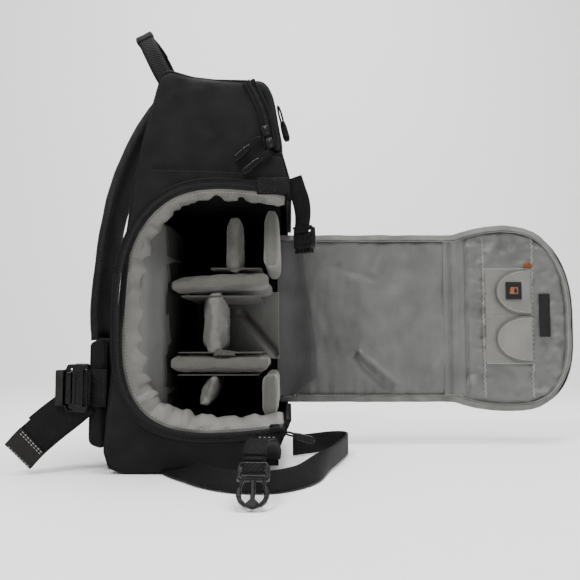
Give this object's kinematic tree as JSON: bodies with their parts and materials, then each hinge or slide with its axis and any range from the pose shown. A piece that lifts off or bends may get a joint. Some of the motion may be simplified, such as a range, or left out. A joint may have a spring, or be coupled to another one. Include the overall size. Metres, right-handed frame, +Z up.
{
  "type": "camera bag",
  "caption": "Upright side-access camera sling bag with its padded front-and-side flap standing open, hook-and-loop dividers, top pocket, sling strap and side-release buckles",
  "frame": {"origin": "middle of the flat base, on the surface the bag stands on", "axes": "+Z up; +X from the wearer's back to the front of the bag; -Y towards the near side, whose opening the flap closes"},
  "size_m": [0.7, 0.4115, 0.5322],
  "materials": {
    "shell": "dull black woven polyester over foam",
    "lower_shell": "dark grey woven polyester",
    "lining": "satin grey nylon lining",
    "divider": "brushed grey loop cloth over foam",
    "webbing": "black woven webbing",
    "mesh": "black spacer mesh over foam",
    "plastic": "black moulded acetal",
    "zip": "black coil zip and piping",
    "orange": "orange woven tape"
  },
  "bodies": {
    "root": {"far_side_panel": "shell", "near_side_panel": "shell", "back_panel": "shell", "front_upper_panel": "shell", "top_panel": "shell", "hip_pad": "shell", "bottom_panel": "lower_shell", "front_lower_panel": "lower_shell", "compartment_shelf": "lining", "back_pad": "lining", "far_pad": "lining", "floor_pad": "lining", "rim_lining": "lining", "end_pad_upper": "divider", "end_pad_lower": "divider", "hip_tab": "webbing", "upper_strap_anchor": "webbing", "lower_strap_anchor": "webbing", "waist_webbing": "webbing", "sling_strap": "mesh", "sling_buckle_female": "plastic", "top_zip_tape": "zip", "main_zip_tape": "zip"},
    "flap_front": {"flap_front_shell": "shell", "flap_front_lining": "lining", "flap_zip_low": "zip", "flap_zip_high": "zip"},
    "flap_side": {"flap_side_shell": "shell", "flap_side_lining": "lining", "flap_zip_round": "zip", "card_pocket": "lining", "orange_tag": "orange", "label_patch": "webbing"},
    "card_tongue_upper": {"card_tongue_upper": "lining", "card_icon_patch": "webbing"},
    "card_tongue_lower": {"card_tongue_lower": "lining"},
    "top_lid": {"top_pocket_lid": "shell", "lid_pull": "plastic"},
    "carry_handle": {"carry_handle": "webbing"},
    "sling_tail": {"sling_buckle_male": "plastic", "strap_tail": "webbing"},
    "upper_strap": {"upper_strap": "webbing", "upper_buckle_female": "plastic"},
    "lower_strap": {"lower_strap": "webbing", "lower_buckle_male": "plastic"},
    "divider_upper": {"divider_upper": "divider"},
    "divider_lower": {"divider_lower": "divider"},
    "divider_top_vertical": {"divider_top_vertical": "divider"},
    "divider_mid_vertical": {"divider_mid_vertical": "divider"},
    "divider_low_slanted": {"divider_low_slanted": "divider"},
    "top_slider_a": {"top_slider_a": "plastic", "top_pull_a": "plastic"},
    "top_slider_b": {"top_slider_b": "plastic", "top_pull_b": "plastic"},
    "main_slider": {"main_slider": "plastic", "main_pull": "plastic"}
  },
  "joints": [
    {"name": "flap_hinge", "type": "hinge", "parent": "root", "child": "flap_front", "pos_m": [0.097, 0.12, 0.178], "axis": [0, 0, -1], "range_deg": [-60, 90]},
    {"name": "flap_fold", "type": "hinge", "parent": "flap_front", "child": "flap_side", "pos_m": [0.325, 0.108, 0.178], "axis": [0, 0, -1], "range_deg": [-10, 90]},
    {"name": "tongue_upper_fold", "type": "hinge", "parent": "flap_side", "child": "card_tongue_upper", "pos_m": [0.434, 0.1045, 0.211], "axis": [0, 0, -1], "range_deg": [-100, 0]},
    {"name": "tongue_lower_fold", "type": "hinge", "parent": "flap_side", "child": "card_tongue_lower", "pos_m": [0.434, 0.1045, 0.145], "axis": [0, 0, -1], "range_deg": [-100, 0]},
    {"name": "lid_hinge", "type": "hinge", "parent": "root", "child": "top_lid", "pos_m": [0.088, 0, 0.3488], "axis": [0, -1, 0], "range_deg": [-80, 0]},
    {"name": "handle_swing", "type": "hinge", "parent": "root", "child": "carry_handle", "pos_m": [-0.046, 0, 0.445], "axis": [0, 1, 0], "range_deg": [-15, 40]},
    {"name": "sling_release", "type": "slide", "parent": "root", "child": "sling_tail", "axis": [1, 0, 0], "range_m": [-0.04, 0]},
    {"name": "upper_strap_swing", "type": "hinge", "parent": "root", "child": "upper_strap", "pos_m": [0.0975, -0.106, 0.317], "axis": [0, 1, 0], "range_deg": [-75, 0]},
    {"name": "lower_strap_swing", "type": "hinge", "parent": "root", "child": "lower_strap", "pos_m": [0.076, -0.1248, 0.018], "axis": [1, 0, 0], "range_deg": [-35, 0]},
    {"name": "divider_upper_slide", "type": "slide", "parent": "root", "child": "divider_upper", "axis": [0, 1, 0], "range_m": [-0.11, 0]},
    {"name": "divider_lower_slide", "type": "slide", "parent": "root", "child": "divider_lower", "axis": [0, 1, 0], "range_m": [-0.11, 0]},
    {"name": "divider_top_vertical_slide", "type": "slide", "parent": "root", "child": "divider_top_vertical", "axis": [0, 1, 0], "range_m": [-0.11, 0]},
    {"name": "divider_mid_vertical_slide", "type": "slide", "parent": "root", "child": "divider_mid_vertical", "axis": [0, 1, 0], "range_m": [-0.11, 0]},
    {"name": "divider_low_slanted_slide", "type": "slide", "parent": "root", "child": "divider_low_slanted", "axis": [0, 1, 0], "range_m": [-0.11, 0]},
    {"name": "top_zip_a", "type": "slide", "parent": "root", "child": "top_slider_a", "axis": [-0.3419, 0, 0.9397], "range_m": [0, 0.045]},
    {"name": "top_zip_b", "type": "slide", "parent": "root", "child": "top_slider_b", "axis": [-0.3419, 0, 0.9397], "range_m": [0, 0.045]},
    {"name": "main_zip", "type": "slide", "parent": "root", "child": "main_slider", "axis": [-0.9848, 0, -0.174], "range_m": [0, 0.05]}
  ],
  "couplings": [
    {"joint": "top_zip_a", "follows": "top_zip_b", "ratio": 1}
  ]
}
